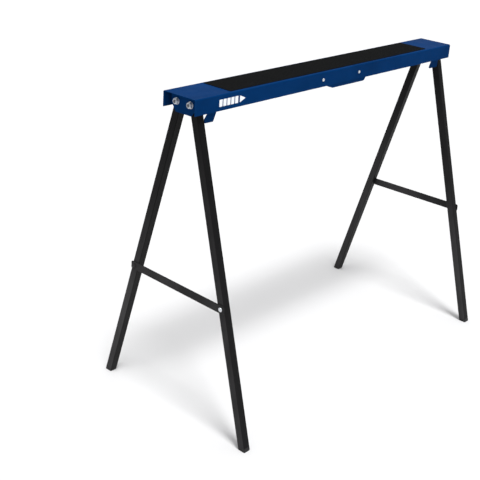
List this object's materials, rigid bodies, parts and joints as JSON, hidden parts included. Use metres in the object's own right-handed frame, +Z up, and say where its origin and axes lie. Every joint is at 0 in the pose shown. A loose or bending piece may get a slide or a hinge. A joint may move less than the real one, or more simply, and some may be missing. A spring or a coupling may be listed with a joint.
{
  "type": "folding sawhorse",
  "caption": "Folding trestle sawhorse: sheet-steel beam with an anti-slip pad on splayed square-tube A-frames that close at hooked braces and fold under the beam.",
  "frame": {"origin": "centre of the footprint on the floor, midway between the legs and the beam ends", "axes": "+X along the beam, +Y across it, +Z up"},
  "size_m": [1, 0.5016, 0.7965],
  "materials": {
    "blue_coat": "satin powder coat",
    "grip_pad": "matte grit",
    "black_coat": "satin powder coat",
    "foot_plastic": "matte",
    "zinc": "bright zinc plate"
  },
  "bodies": {
    "beam_set": {"beam": "blue_coat", "top_pad": "grip_pad", "keeper_plate": "blue_coat", "keeper_rivets": "zinc", "pivot_pin_left": "blue_coat", "pivot_pin_right": "blue_coat", "pivot_bushes_left": "zinc", "pivot_bushes_right": "zinc"},
    "bracket_set_left": {"bracket_left": "blue_coat", "leg_bolts_left": "zinc", "leg_washers_left": "zinc", "lock_nuts_left": "zinc", "leg_spacers_left": "foot_plastic"},
    "leg_set_front_left": {"leg_front_left": "black_coat", "foot_front_left": "foot_plastic", "brace_rivet_left": "zinc"},
    "leg_set_back_left": {"leg_back_left": "black_coat", "foot_back_left": "foot_plastic", "hook_stud_left": "black_coat"},
    "brace_set_left": {"brace_left": "black_coat"},
    "bracket_set_right": {"bracket_right": "blue_coat", "leg_bolts_right": "zinc", "leg_washers_right": "zinc", "lock_nuts_right": "zinc", "leg_spacers_right": "foot_plastic"},
    "leg_set_back_right": {"leg_back_right": "black_coat", "foot_back_right": "foot_plastic", "brace_rivet_right": "zinc"},
    "leg_set_front_right": {"leg_front_right": "black_coat", "foot_front_right": "foot_plastic", "hook_stud_right": "black_coat"},
    "brace_set_right": {"brace_right": "black_coat"}
  },
  "joints": [
    {"name": "left_fold", "type": "hinge", "parent": "beam_set", "child": "bracket_set_left", "pos_m": [-0.431, 0, 0.776], "axis": [0, -1, 0], "range_deg": [0, 90.95]},
    {"name": "left_close", "type": "hinge", "parent": "bracket_set_left", "child": "leg_set_front_left", "pos_m": [-0.47102, -0.0215, 0.77496], "axis": [0.9999, 0, -0.0166], "range_deg": [0, 15.76]},
    {"name": "left_stud_leg", "type": "hinge", "parent": "bracket_set_left", "child": "leg_set_back_left", "pos_m": [-0.47102, 0.0215, 0.77496], "axis": [-0.9999, 0, 0.0166], "range_deg": [0, 15.76]},
    {"name": "left_brace", "type": "hinge", "parent": "leg_set_front_left", "child": "brace_set_left", "pos_m": [-0.48966, -0.14645, 0.33241], "axis": [0.9999, 0, -0.0166], "range_deg": [0, 73.56]},
    {"name": "right_fold", "type": "hinge", "parent": "beam_set", "child": "bracket_set_right", "pos_m": [0.403, 0, 0.776], "axis": [0, 1, 0], "range_deg": [0, 90.95]},
    {"name": "right_close", "type": "hinge", "parent": "bracket_set_right", "child": "leg_set_back_right", "pos_m": [0.47102, 0.0215, 0.77543], "axis": [-0.9999, 0, -0.0166], "range_deg": [0, 15.76]},
    {"name": "right_stud_leg", "type": "hinge", "parent": "bracket_set_right", "child": "leg_set_front_right", "pos_m": [0.47102, -0.0215, 0.77543], "axis": [0.9999, 0, 0.0166], "range_deg": [0, 15.76]},
    {"name": "right_brace", "type": "hinge", "parent": "leg_set_back_right", "child": "brace_set_right", "pos_m": [0.48966, 0.14645, 0.33288], "axis": [-0.9999, 0, -0.0166], "range_deg": [0, 73.56]}
  ],
  "couplings": [
    {"joint": "left_stud_leg", "follows": "left_close", "ratio": 1},
    {"joint": "left_brace", "follows": "left_close", "ratio": 4.6676},
    {"joint": "right_stud_leg", "follows": "right_close", "ratio": 1},
    {"joint": "right_brace", "follows": "right_close", "ratio": 4.6676}
  ]
}
